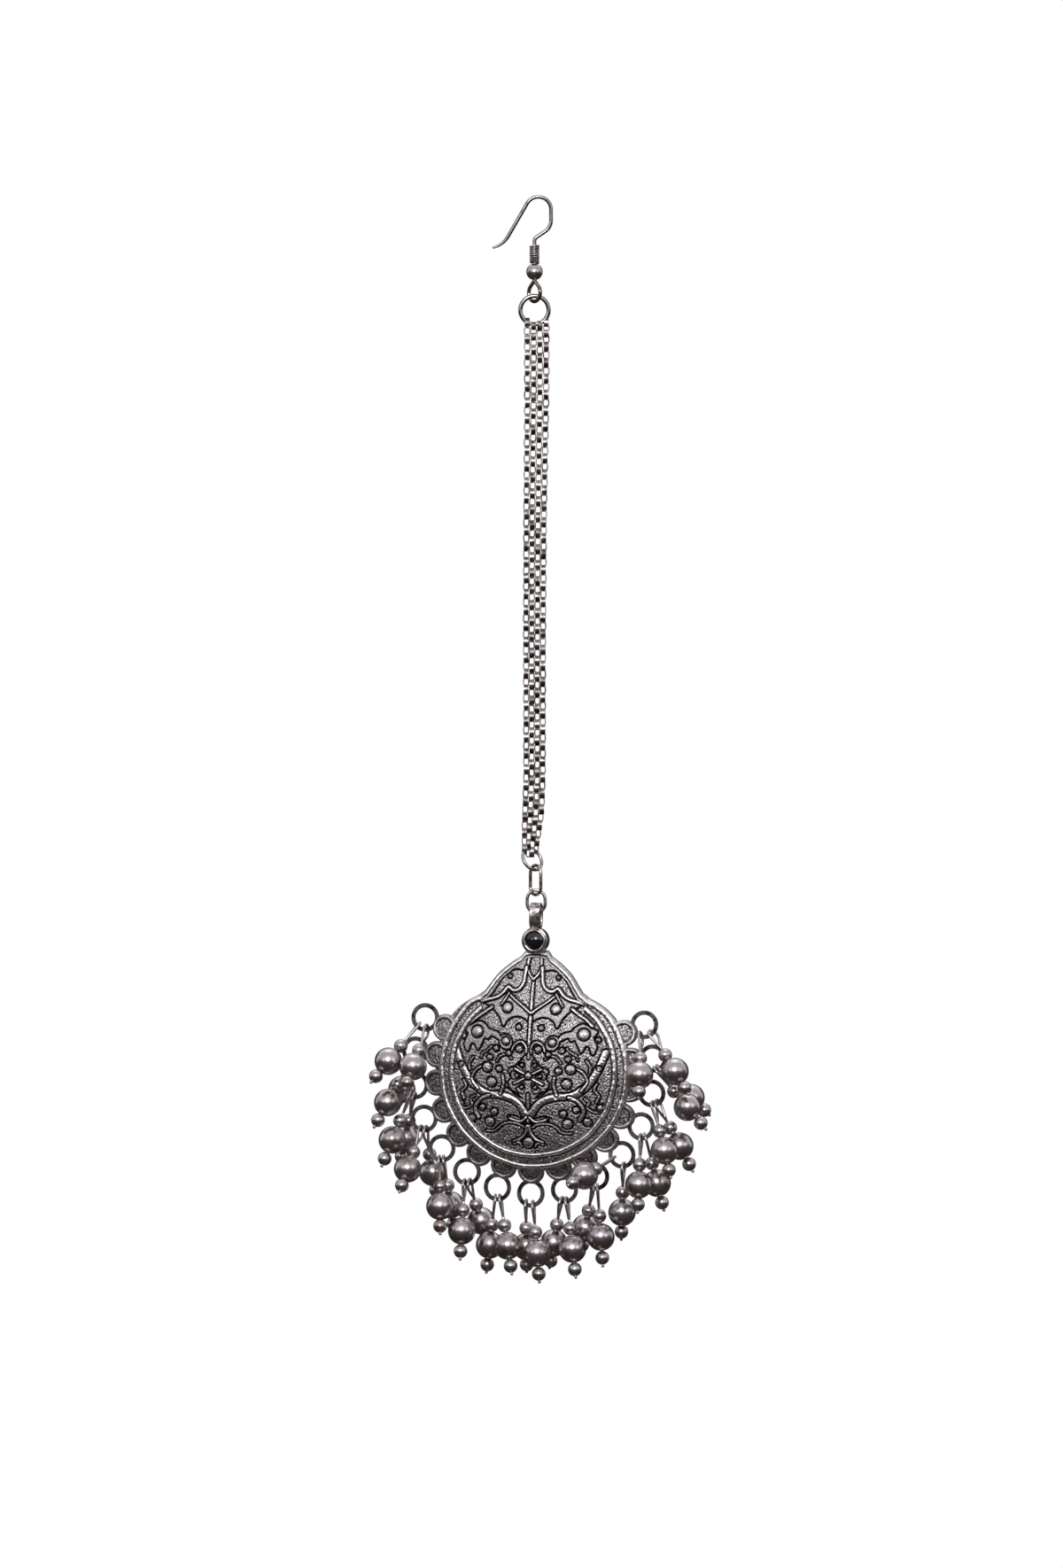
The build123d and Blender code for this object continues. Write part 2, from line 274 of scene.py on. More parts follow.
def bandLink(long):
    # one link standing in the XZ plane, its hole along Y: a tube of twelve sides squared off
    bm = bmesh.new()
    turn = Matrix.Rotation(math.radians(90), 4, "X")
    bmesh.ops.create_cone(bm, cap_ends=False, segments=12, radius1=1, radius2=1,
                          depth=chain["bandDeep"], matrix=turn)
    halfWide, halfLong, corner = chain["linkWide"] / 2, long / 2, chain["linkCorner"]
    for v in bm.verts:
        angle = math.atan2(v.co.z, v.co.x)
        spread = max(abs(math.cos(angle)), abs(math.sin(angle)))
        v.co.x = (halfWide - corner) * math.cos(angle) / spread + corner * math.cos(angle)
        v.co.z = (halfLong - corner) * math.sin(angle) / spread + corner * math.sin(angle)
    bmesh.ops.recalc_face_normals(bm, faces=bm.faces)
    bmesh.ops.solidify(bm, geom=bm.faces[:], thickness=chain["bandThick"])
    bmesh.ops.recalc_face_normals(bm, faces=bm.faces)
    mesh = bpy.data.meshes.new("linkPattern")
    bm.to_mesh(mesh)
    bm.free()
    return mesh


def makeChain():
    shortLong = chain["linkLong"] - chain["pitch"] + chain["shortPitch"]
    patterns = {chain["pitch"]: bandLink(chain["linkLong"]), chain["shortPitch"]: bandLink(shortLong)}
    bm = bmesh.new()
    for column in range(chain["columns"]):
        offset = column - (chain["columns"] - 1) / 2
        pitches = [chain["pitch"]] * chain["rows"]
        if column % 2:
            # short links take the room of two at the top, so this strand is a row out of step
            pitches = [chain["shortPitch"]] * chain["shortLinks"] + pitches[:-2]
        rise = chain["outerRise"] if column in (0, chain["columns"] - 1) else 0.0
        z = chain["ringWireZ"] + chain["bandThick"] + rise - chain["linkLong"] / 2
        for row, pitch in enumerate(pitches):
            x, y, width = strapAt(z)
            narrow = width / chain["fullWidth"]
            x += offset * chain["columnPitch"] * narrow
            pull = min(max((chain["gatherFrom"] - z) / chain["gatherOver"], 0), 1) ** chain["gatherPower"]
            x += pull * (chain["gatherAt"][column][0] - x)
            y += pull * (chain["gatherAt"][column][1] - y)
            before = len(bm.verts)
            bm.from_mesh(patterns[pitch])
            bm.verts.ensure_lookup_table()
            mine = bm.verts[before:]
            onEdge = row % 2 == 0
            yaw = (90 if onEdge else 0) + rng.uniform(-chain["turnBy"], chain["turnBy"])
            place = (Matrix.Translation((x, y + rng.uniform(-chain["shiftBy"], chain["shiftBy"]), z))
                     @ Matrix.Rotation(math.radians(rng.uniform(-chain["tipBy"], chain["tipBy"])), 4, "Y")
                     @ Matrix.Rotation(math.radians(yaw), 4, "Z")
                     @ Matrix.Diagonal((1 if onEdge else narrow, 1, 1, 1)))
            bmesh.ops.transform(bm, matrix=Matrix.Scale(mm, 4) @ place, verts=mine)
            z -= pitch
    newPiece(bm, "chainLinks", "chain", silver["chainSilver"], ["mesh_chain"], 30)


makeChain()
print("chain made")


# medallion: lengths in millimetres from the disc's centre, x to the right and z up, before it is hung
medallion = dict(
    hingeName="pendant_swing", yaw=-13, tip=1.4, roll=1.6, discAt=(0.2, 28.6),
    domeRadius=50.0, domeFront=-4.5, thickness=1.1, edgeRound=0.3,
    # angle from straight up and distance to the edge, the same on both sides
    outline=[(0, 22.0), (5.4, 21.8), (7.8, 20.85), (11.8, 20.25), (15.5, 19.65), (20.5, 18.9),
             (26.6, 17.75), (32, 16.95), (37.7, 16.9), (43, 17.3), (49, 17.7), (56, 18.0), (180, 18.1)],
    # each ridge: radius, half width, height; they start this many degrees from straight up
    ridgeCentre=(0.4, -0.15), outerRidge=(17.1, 0.50, 0.50), innerRidge=(15.1, 0.46, 0.46),
    ridgeStart=33, ridgeFade=7, bandInner=14.35, capInset=1.5,
    scallopCount=15, scallopStep=16.26, scallopCircle=18.1, scallopRadius=2.4,
    eyeletCircle=22.2, eyeletRadius=2.175, eyeletWire=0.80, eyeletY=-0.25, eyeletLean=3, eyeletOval=0.02,
    # rows of the plate from the middle out, and the carved field's half width, foot, top and cell
    turns=900, middleRows=4, bandRows=46, rimRows=3,
    fieldWide=14.9, fieldLow=-14.9, fieldTop=20.6, fieldCell=0.105,
    # the back's rows, as shares of the edge's distance
    backScales=[1.0, 0.985, 0.93, 0.86, 0.78, 0.69, 0.6, 0.5, 0.4, 0.3, 0.2, 0.1],
)
# the casting's skin: shortest and longest ripple of each kind, and how high each stands
grainLook = dict(waves=22, coarse=(0.36, 0.80), fine=(0.24, 0.36),
                 fieldCoarse=0.024, fieldFine=0.013, plateCoarse=0.026)
# each scallop: its lip, floor and middle boss, as distances from its own centre, then heights
scallop = dict(lipAt=1.98, lipWide=0.30, floorAt=(1.75, 1.45), bossRadius=0.75, creaseAt=1.60,
               creaseWide=0.13, base=0.04, lipHigh=0.24, floorDeep=0.16, bossHigh=0.22)

# the tree on the medallion: its right-hand side, which is mirrored to the left as well
# raised leaves: closed outline, height
leaves = [
    # broad leaf under the shoulder
    ([(0, 10.6), (1.3, 11.6), (3.2, 12.8), (4.6, 13.7), (5.6, 13.4), (6.8, 12.7), (8.9, 12.3),
      (7.3, 11.2), (6.3, 10.3), (5.5, 9.3), (4.9, 8.0), (4.4, 8.9), (3.5, 9.7), (2.3, 10.0),
      (1.1, 9.7), (0, 9.0)], 0.20),
    # curled leaf at the side, with its hooked lower edge
    ([(5.3, 5.4), (5.8, 6.7), (7.6, 7.3), (8.3, 8.1), (9.5, 8.7), (10.8, 8.2), (12.1, 7.5), (11.5, 6.4),
      (12.2, 4.9), (11.8, 3.5), (11.4, 3.6), (11.0, 4.7), (10.2, 4.8), (9.6, 3.6), (8.8, 5.0), (8.3, 5.8),
      (7.6, 5.6), (7.1, 6.2), (6.2, 5.9)], 0.20),
    # shoulder over the heart, up to the rim
    ([(1.5, 21.0), (1.75, 18.5), (3.4, 18.45), (4.9, 17.85), (6.0, 16.7), (6.9, 15.2), (7.7, 13.9),
      (9.2, 12.6), (12.0, 13.5), (9.0, 18.5), (4.0, 22.5)], 0.22),
    # cup of the flower
    ([(0, -5.4), (1.3, -4.9), (2.7, -4.2), (3.9, -3.3), (4.6, -3.5), (4.9, -4.1), (4.4, -5.2), (3.2, -5.5),
      (1.9, -6.2), (0.9, -7.3), (0, -8.4)], 0.24),
    # the flower's six petals in one
    ([(0, 2.7), (0.9, 2.5), (1.9, 1.2), (2.8, 0.7), (3.7, 0.1), (3.2, -1.2), (3.8, -2.2), (3.1, -3.3),
      (1.9, -3.8), (0.9, -5.0), (0, -4.5)], 0.24),
    # lobe that carries the inner berry
    ([(3.3, 4.2), (3.3, 5.7), (4.2, 6.4), (5.2, 6.1), (5.4, 5.0), (4.7, 4.0)], 0.20),
    # root leaf
    ([(0, -8.6), (1.0, -9.4), (2.2, -9.5), (3.3, -8.9), (3.6, -8.3), (2.6, -8.2), (1.3, -8.5),
      (0.3, -8.2)], 0.24),
]
# the flower: where it sits, each petal's bearing and size, and the outline of the pit in a petal
flower = dict(at=(0, -0.75), petals=[(1, 1.06), (60, 1.02), (-60, 1.12)],
              pit=[(1.15, 0), (1.9, 0.55), (2.9, 0.80), (3.2, 0.3), (3.2, -0.3), (2.9, -0.80),
                   (1.9, -0.55)])
# raised lines: points, width, height; all are drawn wider by one factor
strokeSwell = 1.15
strokes = [
    ([(0, 16.9), (0, 10.4), (0, 2.5)], 0.42, 0.34),
    ([(0, -4.2), (0, -9.0)], 0.42, 0.32),
    ([(0.5, -0.5), (2.5, 0.5)], 0.34, 0.36),
    ([(0.5, -1.05), (2.7, -2.2)], 0.34, 0.36),
    ([(1.05, 20.8), (1.3, 19.3), (1.05, 17.9), (0.05, 16.6)], 0.36, 0.42),
    ([(9.3, 12.4), (8.2, 12.7), (6.7, 13.1), (5.6, 13.9), (4.7, 15.0), (3.7, 14.5), (2.65, 14.8),
      (1.9, 15.9), (1.7, 17.4), (1.55, 18.8)], 0.46, 0.44),
    ([(0, 10.5), (1.3, 11.6), (3.2, 12.9), (4.4, 13.9)], 0.34, 0.36),
    ([(4.4, 14.0), (5.0, 12.9), (5.6, 11.8)], 0.26, 0.32),
    ([(7.4, 11.3), (8.7, 10.4), (9.9, 9.6), (11.2, 8.5)], 0.50, 0.32),
    ([(0.45, 3.4), (0.5, 4.5), (1.1, 5.35), (1.9, 5.3), (2.7, 4.6), (3.1, 3.6)], 0.34, 0.30),
    # long side leaf, from the foot of the stem up to its tip by the inner ridge
    ([(0.5, -7.7), (1.7, -5.9), (3.3, -4.9), (5.2, -4.5), (7.2, -4.4), (9.0, -3.7), (10.8, -2.2),
      (12.2, -0.2), (13.2, 1.9), (13.9, 3.9)], 1.05, 0.40),
    ([(9.6, -3.4), (10.6, -2.0), (10.7, -1.2), (9.9, 0.1), (8.7, 0.7)], 0.34, 0.34),
    ([(4.9, -1.0), (4.7, -2.5), (5.2, -4.2)], 0.42, 0.34),
    # curl that hangs from the side leaf
    ([(7.4, -4.7), (8.7, -5.1), (9.7, -6.2), (9.9, -7.3), (9.3, -8.6)], 0.55, 0.36),
    ([(0.3, -8.3), (1.4, -9.0), (3.2, -8.6)], 0.34, 0.40),
    # second, lower arch
    ([(0.2, -10.4), (1.7, -9.5), (3.6, -9.4), (5.0, -10.0), (6.2, -11.0), (7.8, -11.1)], 0.30, 0.26),
    ([(0.1, -9.8), (0.5, -11.2), (1.5, -12.2), (2.7, -12.8)], 0.42, 0.44),
    ([(1.2, -13.6), (1.7, -12.9), (2.8, -13.2)], 0.30, 0.28),
    # twigs on the ground beside the leaves
    ([(12.4, -1.9), (11.9, -3.0), (12.7, -4.0), (12.2, -5.2)], 0.36, 0.30),
    ([(10.2, -4.7), (10.9, -5.3), (10.6, -6.3), (11.5, -6.9), (12.6, -7.0)], 0.34, 0.28),
    ([(3.2, 2.3), (4.1, 2.9), (5.2, 2.6), (6.0, 1.6)], 0.30, 0.24),
    ([(7.0, 4.2), (7.9, 3.4), (8.7, 3.0), (9.0, 2.2)], 0.30, 0.24),
    ([(10.6, 2.2), (11.3, 1.1), (11.2, 0.1)], 0.34, 0.24),
]
# round bosses: place, radius, height
bosses = [
    (4.45, 11.35, 0.86, 0.50), (9.8, 6.9, 1.00, 0.56), (4.25, 5.35, 0.66, 0.46), (0, -0.75, 0.62, 0.44),
    (0, -12.9, 0.98, 0.52), (7.1, -9.4, 0.84, 0.50), (7.8, 0.5, 0.86, 0.44), (6.3, -7.6, 0.62, 0.40),
    (7.0, -2.2, 0.86, 0.34), (5.6, 0.2, 0.56, 0.30), (8.6, -6.8, 0.56, 0.36), (12.9, -6.2, 0.58, 0.34),
    (10.6, -8.9, 0.70, 0.32), (1.75, 4.1, 0.62, 0.26), (12.4, 6.1, 0.44, 0.26), (12.9, 1.0, 0.40, 0.22),
    (3.7, 3.2, 0.44, 0.24), (6.1, 3.9, 0.50, 0.26), (7.3, 2.3, 0.50, 0.26), (2.0, 8.0, 0.46, 0.16),
    (1.25, 1.2, 0.30, 0.20), (2.2, -0.75, 0.30, 0.20), (1.3, -2.75, 0.32, 0.20), (4.6, 17.0, 0.34, 0.16),
]

hinge = Vector(next(j["pos_m"] for j in frame["joints"] if j["name"] == medallion["hingeName"]))
hang = (Matrix.Translation(hinge) @ Matrix.Rotation(math.radians(medallion["yaw"]), 4, "Z")
        @ Matrix.Rotation(math.radians(medallion["tip"]), 4, "X")
        @ Matrix.Rotation(math.radians(medallion["roll"]), 4, "Y") @ Matrix.Scale(mm, 4))
onDisc = hang @ Matrix.Translation((medallion["discAt"][0], 0, -medallion["discAt"][1]))


def smoothStep(value, low, high):
    t = np.clip((value - low) / (high - low), 0, 1)
    return t * t * (3 - 2 * t)


def domeAt(radius):
    look = medallion
    return look["domeFront"] + look["domeRadius"] - np.sqrt(look["domeRadius"] ** 2 - radius ** 2)


def edgeAt(angle):
    # distance from the disc's centre to the medallion's edge; the angle runs from straight up
    look = medallion
    turned = np.abs((angle + math.pi) % (2 * math.pi) - math.pi)
    knots = np.radians([a for a, r in look["outline"]])
    away = np.interp(turned, knots, [r for a, r in look["outline"]])
    for number in range(look["scallopCount"]):
        middle = math.radians(180 - (number - (look["scallopCount"] - 1) / 2) * look["scallopStep"])
        off = (angle - middle + math.pi) % (2 * math.pi) - math.pi
        across = look["scallopRadius"] ** 2 - (look["scallopCircle"] * np.sin(off)) ** 2
        reach = look["scallopCircle"] * np.cos(off) + np.sqrt(np.maximum(across, 0))
        away = np.maximum(away, np.where((across > 0) & (np.cos(off) > 0), reach, 0))
    return away


def smoothCurve(points, closed=False, steps=7):
    knots = np.array(points, float)
    before = np.roll(knots, 1, 0)
    after = np.roll(knots, -1, 0)
    beyond = np.roll(knots, -2, 0)
    if not closed:
        before[0] = knots[0]
        after[-1] = beyond[-1] = beyond[-2] = knots[-1]
    t = np.linspace(0, 1, steps, endpoint=False)[:, None, None]
    curve = 0.5 * (2 * knots + (after - before) * t
                   + (2 * before - 5 * knots + 4 * after - beyond) * t ** 2
                   + (3 * knots - before - 3 * after + beyond) * t ** 3)
    curve = curve.transpose(1, 0, 2).reshape(-1, 2)
    return curve if closed else np.vstack([curve[:-steps + 1], knots[-1:]])


def distanceTo(curve, x, z, closed=False):
    ends = np.roll(curve, -1, 0)
    if not closed:
        curve, ends = curve[:-1], ends[:-1]
    nearest = np.full(x.shape, 1e9)
    for (ax, az), (bx, bz) in zip(curve, ends):
        dx, dz = bx - ax, bz - az
        t = np.clip(((x - ax) * dx + (z - az) * dz) / (dx * dx + dz * dz + 1e-12), 0, 1)
        nearest = np.minimum(nearest, (x - ax - t * dx) ** 2 + (z - az - t * dz) ** 2)
    return np.sqrt(nearest)


def insideOf(curve, x, z):
    crossings = np.zeros(x.shape, int)
    for (ax, az), (bx, bz) in zip(curve, np.roll(curve, -1, 0)):
        spans = (az > z) != (bz > z)
        crossings += spans & (x < (bx - ax) * (z - az) / (bz - az + 1e-12) + ax)
    return crossings % 2 == 1


def nearTo(curve, x, z, margin):
    low = curve.min(0) - margin
    high = curve.max(0) + margin
    return (x > low[0]) & (x < high[0]) & (z > low[1]) & (z < high[1])


def treeRelief(x, z):
    # height over the dome, and how dark the oxide and painted crease shade lie, for places on the
    # right-hand side
    x = np.abs(x)
    flat = np.zeros(x.shape)
    oxideAndShade = np.zeros(x.shape)
    for points, height in leaves:
        curve = smoothCurve(points, closed=True, steps=4)
        near = nearTo(curve, x, z, 0.5)
        away = distanceTo(curve, x[near], z[near], closed=True)
        away = np.where(insideOf(curve, x[near], z[near]), away, -away)
        flat[near] = np.maximum(flat[near], height * smoothStep(away, -0.16, 0.10))
        # painted shade with the oxide: a dark band just outside each leaf's edge
        oxideAndShade[near] = np.maximum(oxideAndShade[near], np.exp(-((away + 0.17) / 0.20) ** 2))
    onLeaf = smoothStep(flat, 0.10, 0.20)
    oxideAndShade *= 1 - 0.9 * onLeaf
    for bearing, size in flower["petals"]:
        c, t = size * math.cos(math.radians(bearing)), size * math.sin(math.radians(bearing))
        atX, atZ = flower["at"]
        corners = [(atX + c * u - t * v, atZ + t * u + c * v) for u, v in flower["pit"]]
        curve = smoothCurve(corners, closed=True, steps=4)
        near = nearTo(curve, x, z, 0.4)
        away = distanceTo(curve, x[near], z[near], closed=True)
        away = np.where(insideOf(curve, x[near], z[near]), away, -away)
        sunk = smoothStep(away, -0.05, 0.16)
        flat[near] *= 1 - sunk
        onLeaf[near] *= 1 - sunk
        oxideAndShade[near] = np.maximum(oxideAndShade[near], np.exp(-((away - 0.10) / 0.13) ** 2))
    high = flat.copy()
    plain = np.ones(x.shape)
    for points, width, height in strokes:
        curve = smoothCurve(points)
        width *= strokeSwell
        near = nearTo(curve, x, z, width + 0.4)
        away = distanceTo(curve, x[near], z[near])
        arch = np.sqrt(np.maximum(1 - (away / (0.5 * width)) ** 2, 0))
        foot = np.exp(-((away - 0.5 * width - 0.12) / 0.17) ** 2)
        # painted shade with the oxide at each stroke's foot
        oxideAndShade[near] = np.where(arch > 0.25, oxideAndShade[near] * 0.15, np.maximum(oxideAndShade[near], 0.95 * foot))
        high[near] = np.maximum(high[near] - 0.05 * foot, (0.35 + 0.65 * arch) * height * (arch > 0))
    for px, pz, radius, height in bosses:
        away = np.hypot(x - px, z - pz)
        ball = np.sqrt(np.maximum(1 - (away / radius) ** 2, 0))
        ring = np.exp(-((away - radius - 0.12) / 0.17) ** 2)
        # painted shade with the oxide in a ring round each boss
        oxideAndShade = np.where(ball > 0.3, oxideAndShade * 0.2, np.maximum(oxideAndShade, ring))
        risen = np.maximum(high * (1 - ball), height * (0.25 + 0.75 * ball))
        high = np.where(ball > 0, risen, high - 0.10 * ring)
        plain = np.where(ball > 0, 0.35, plain)
    worn = plain * smoothStep(high, 0.22, 0.38)
    return high, smoothStep(oxideAndShade, 0.15, 0.70), worn, onLeaf


def castGrain(x, z, span):
    # the pitted skin of a casting: many ripples of different length and bearing, added up
    waves = grainLook["waves"]
    bearings = rng.uniform(0, math.pi, waves)
    lengths = rng.uniform(*span, waves)
    starts = rng.uniform(0, 2 * math.pi, waves)
    total = np.zeros(x.shape)
    for bearing, length, start in zip(bearings, lengths, starts):
        total += np.sin((x * math.cos(bearing) + z * math.sin(bearing)) * 2 * math.pi / length + start)
    return total / math.sqrt(waves / 2)


def addAttribute(mesh, name, values):
    layer = mesh.attributes.new(name, "FLOAT", "POINT")
    layer.data.foreach_set("value", values.astype(np.float32))


def meshPoints(mesh):
    flat = np.empty(len(mesh.vertices) * 3, np.float32)
    mesh.vertices.foreach_get("co", flat)
    return flat.reshape(-1, 3).astype(float)


def setPoints(mesh, points, place):
    turned = points @ np.array(place.to_3x3()).T + np.array(place.translation)
    mesh.vertices.foreach_set("co", turned.astype(np.float32).ravel())
    mesh.update()


def ringAt(angle, radius):
    # the ridges are circles struck a little off the disc's centre
    x, z = medallion["ridgeCentre"]
    return radius + x * np.sin(angle) + z * np.cos(angle)


def bandStart(angle, out):
    # the band with the ridges starts inside the inner one, and runs along the rim of the cap
    opened = 9 * smoothStep(np.abs(angle), 0.72, 0.52)
    return np.minimum(ringAt(angle, medallion["bandInner"]) + opened, out - medallion["capInset"])


def fieldEdge(angle):
    return bandStart(angle, edgeAt(angle)) + 0.30


def makeReliefField():
    look = medallion
    wide, low, top = look["fieldWide"], look["fieldLow"], look["fieldTop"]
    columns = round(2 * wide / look["fieldCell"])
    rows = round((top - low) / look["fieldCell"])
    bm = bmesh.new()
    bmesh.ops.create_grid(bm, x_segments=columns, y_segments=rows, size=1)
    for v in bm.verts:
        v.co = (v.co.x * wide, 0, (v.co.y * (top - low) + top + low) / 2)
    places = np.array([v.co for v in bm.verts])
    angle = np.arctan2(places[:, 0], places[:, 2])
    beyond = np.hypot(places[:, 0], places[:, 2]) > fieldEdge(angle) + 0.12
    bm.verts.ensure_lookup_table()
    outside = [bm.verts[i] for i in np.flatnonzero(beyond)]
    bmesh.ops.delete(bm, geom=outside, context="VERTS")
    for face in bm.faces:
        face.normal_update()
    if bm.faces[:][0].normal.y > 0:
        bmesh.ops.reverse_faces(bm, faces=bm.faces)
    field = newPiece(bm, "treeRelief", "pendant", silver["reliefSilver"],
                     ["medallion"], 180)
    points = meshPoints(field.data)
    x, z = points[:, 0], points[:, 2]
    radius = np.hypot(x, z)
    # the carving is not quite the same on both sides
    sway = 0.12 * np.sin(0.37 * z + 0.9 * np.sign(x)) * np.tanh(np.abs(x))
    drift = 0.10 * np.sin(0.45 * x + 1.3) * np.tanh(np.abs(x))
    high, oxideAndShade, worn, onLeaf = treeRelief(x + sway, z + drift)
    grain = castGrain(x, z, grainLook["coarse"])
    fine = castGrain(x, z, grainLook["fine"])
    ground = (1 - onLeaf) * (1 - 0.85 * worn)
    skin = grainLook["fieldCoarse"] * grain + grainLook["fieldFine"] * fine
    high = high + (0.5 + 0.5 * ground) * skin
    high -= 0.08 * oxideAndShade
    worn = np.maximum(worn, (0.3 + 0.3 * ground) * smoothStep(0.6 * grain + fine, 0.7, 1.7))
    # painted shade with the oxide in the hollows of the grain
    oxideAndShade = np.maximum(oxideAndShade, (0.4 + 0.45 * ground) * smoothStep(-0.6 * grain - fine, 0.4, 1.5))
    dip = smoothStep(fieldEdge(np.arctan2(x, z)) - radius, 0.30, -0.05)
    points[:, 1] = domeAt(radius) - high + 0.42 * dip
    setPoints(field.data, points, onDisc)
    addAttribute(field.data, "worn", worn * (1 - 0.6 * dip))
    # painted shade where the field dips under the band
    addAttribute(field.data, "oxideAndShade", np.maximum(oxideAndShade, 0.8 * dip))
    addAttribute(field.data, "ground", ground)


def makePlate():
    # spun from one profile line: middle of the front, band with the ridges, edge, hollow back
    look = medallion
    middle, rows, rims = look["middleRows"], look["bandRows"], look["rimRows"]
    bm = bmesh.new()
    line = [bm.verts.new((0, 0, 0))]
    for step in range(1, middle + rows + rims + 1 + len(look["backScales"])):
        line.append(bm.verts.new((step, 0, 0)))
    line.append(bm.verts.new((0, 1, 0)))
    edges = [bm.edges.new(pair) for pair in zip(line, line[1:])]
    bmesh.ops.spin(bm, geom=line + edges, cent=(0, 0, 0), axis=(0, 1, 0), angle=2 * math.pi,
                   steps=look["turns"], use_merge=True)
    bmesh.ops.remove_doubles(bm, verts=bm.verts, dist=mergeDist)
    bmesh.ops.recalc_face_normals(bm, faces=bm.faces)
    plate = newPiece(bm, "medallionPlate", "pendant", silver["reliefSilver"],
                     ["medallion"], 180)
    points = meshPoints(plate.data)
    row = np.round(np.hypot(points[:, 0], points[:, 2])).astype(int)
    angle = np.arctan2(points[:, 0], points[:, 2])
    isBack = points[:, 1] > 0.5
    out = edgeAt(angle)
    inner = bandStart(angle, out)
    # the first rows are the middle, then come the band, the rows round the edge, and the back
    share = np.clip((row - middle) / rows, 0, 1)
    onBand = inner + (out - look["edgeRound"] - inner) * share
    radius = np.where(row <= middle, inner * row / middle, onBand)
    high, oxideAndShade = bandRelief(angle, radius, out, inner)
    x, z = radius * np.sin(angle), radius * np.cos(angle)
    grain = castGrain(x, z, grainLook["coarse"])
    onGround = 1 - smoothStep(high, 0.02, 0.24)
    worn = np.maximum(0.9 * smoothStep(high, 0.16, 0.42), 0.5 * onGround * smoothStep(grain, 0.6, 1.5))
    # painted shade with the oxide in the plate's grain hollows
    oxideAndShade = np.maximum(oxideAndShade, 0.6 * onGround * smoothStep(-grain, 0.4, 1.5))
    high = high + (0.4 + 0.6 * onGround) * grainLook["plateCoarse"] * grain
    # the middle lies a little under the carved field that covers it
    high = np.where(row <= middle, -0.22, high)
    past = np.maximum(row - middle - rows, 0)
    swing = np.clip(past / rims, 0, 1) * math.pi / 2
    rim = past > 0
    radius = np.where(rim, out - look["edgeRound"] * (1 - np.sin(swing)), radius)
    y = domeAt(radius) - high
    y = np.where(rim, domeAt(out) + look["edgeRound"] * (1 - np.cos(swing)) - 0.05, y)
    backRow = past - rims
    inward = np.ones(len(row))
    for number, scale in enumerate(look["backScales"], start=1):
        inward = np.where(backRow == number, scale, inward)
    radius = np.where(backRow > 0, out * inward, radius)
    y = np.where(backRow > 0, domeAt(out * inward) + look["thickness"] - 0.1 * (backRow == 1), y)
    radius = np.where(isBack, 0, radius)
    y = np.where(isBack, look["domeFront"] + look["thickness"], y)
    fresh = np.stack([radius * np.sin(angle), y, radius * np.cos(angle)], 1)
    setPoints(plate.data, fresh, onDisc)
    inBack = isBack | (backRow > 1)
    addAttribute(plate.data, "worn", np.where(inBack, 0.1, np.where(rim, 0.35, worn)))
    addAttribute(plate.data, "oxideAndShade", np.where(inBack, 0.1, np.where(rim, 0.2, oxideAndShade)))
    addAttribute(plate.data, "ground", np.where(inBack, 1.0, np.where(rim, 0.3, onGround)))


